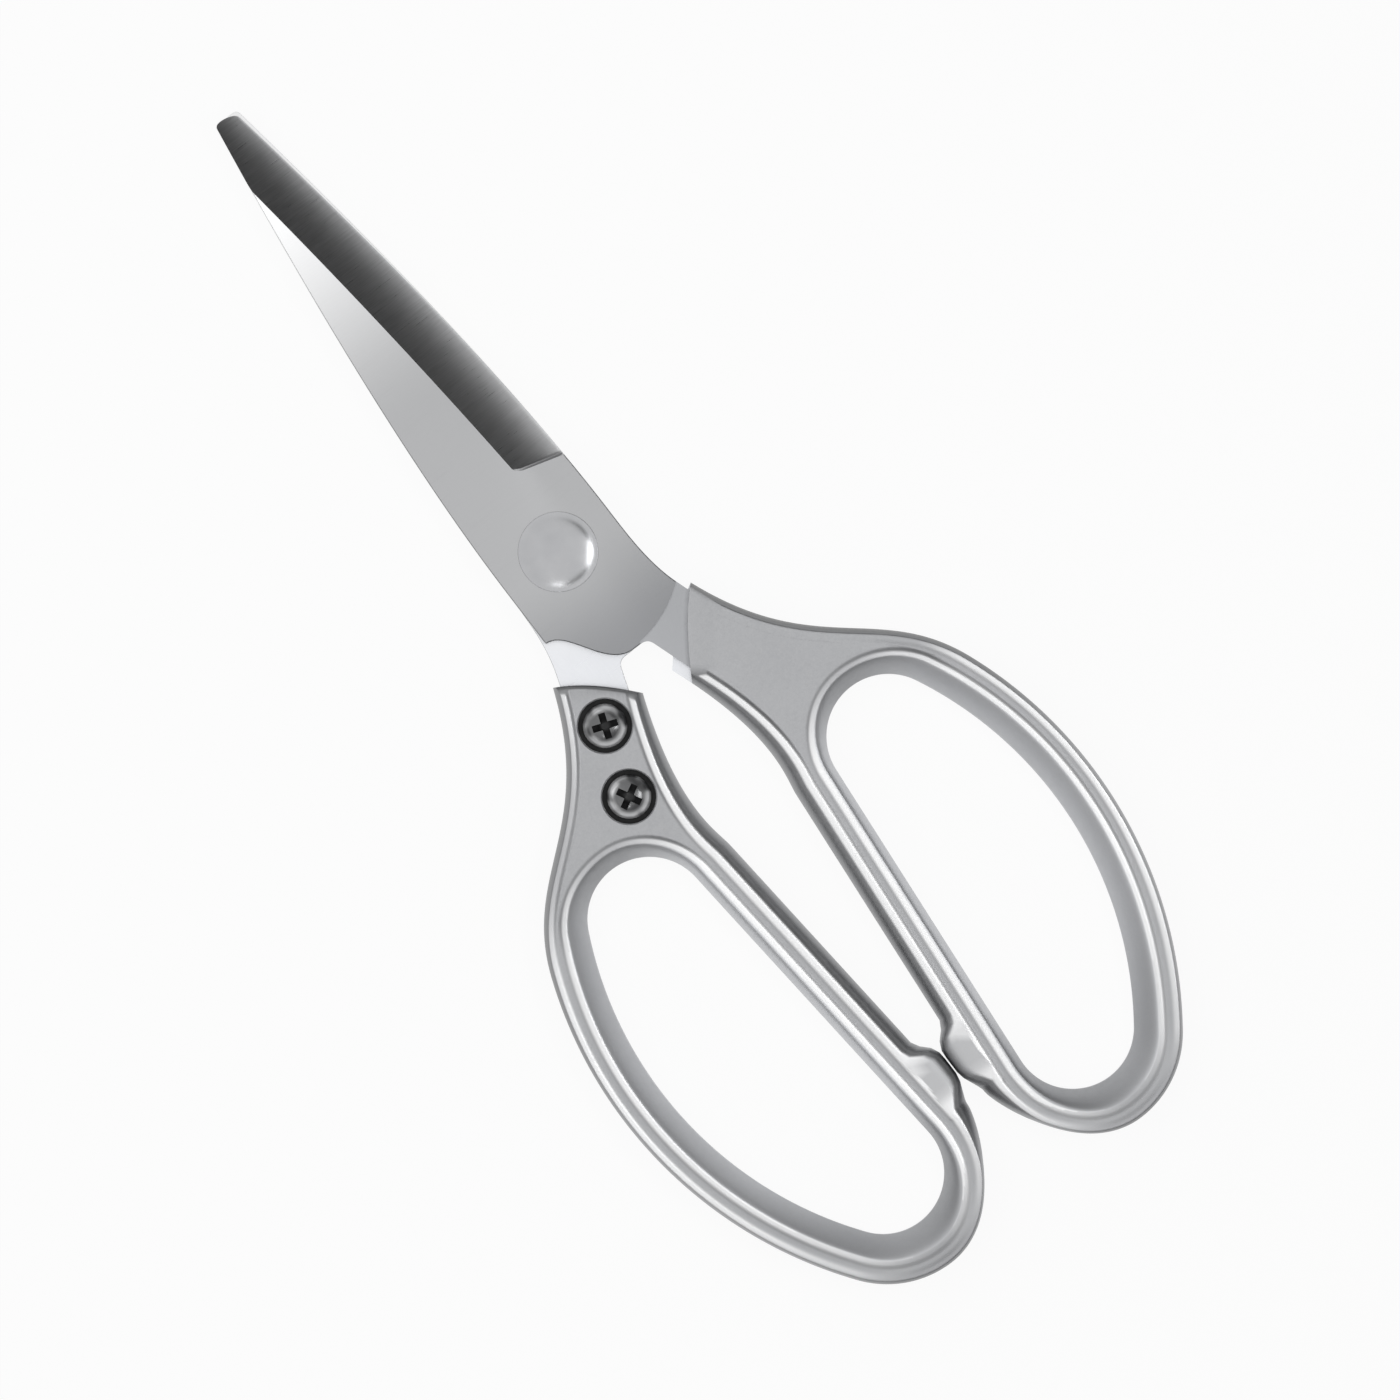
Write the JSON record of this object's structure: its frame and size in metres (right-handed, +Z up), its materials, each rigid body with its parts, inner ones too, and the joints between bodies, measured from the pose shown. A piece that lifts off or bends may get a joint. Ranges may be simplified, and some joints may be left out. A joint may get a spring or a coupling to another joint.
{
  "type": "kitchen shears",
  "caption": "Kitchen shears with hollow-ground steel blades on a rivet and cast metal handles with long finger bows screwed to the tangs; the halves swing open on the pivot.",
  "frame": {"origin": "centre of the rivet's flat foot, on the pivot axis, in the plane that the closed shears rest on", "axes": "+Y from the pivot to the blade tips, +Z up out of the front of the shears along the pivot axis, +X to the right handle's side"},
  "size_m": [0.092, 0.2115, 0.0092],
  "materials": {
    "blade_steel": "satin brushed stainless steel with darker polished hollow grind",
    "cast_handle": "cast light alloy, fine sand-blasted flat with polished beads",
    "black_screw": "black oxide steel",
    "rivet_steel": "satin stainless steel"
  },
  "bodies": {
    "back_half": {"back_blade": "blade_steel", "left_handle": "cast_handle", "left_upper_screw": "black_screw", "left_lower_screw": "black_screw", "pivot_rivet": "rivet_steel", "spring_washer": "rivet_steel"},
    "front_half": {"front_blade": "blade_steel", "right_handle": "cast_handle", "right_upper_screw": "black_screw", "right_lower_screw": "black_screw"}
  },
  "joints": [
    {"name": "pivot", "type": "hinge", "parent": "back_half", "child": "front_half", "pos_m": [0, 0, 0.0046], "axis": [0, 0, 1], "range_deg": [0, 110]}
  ]
}
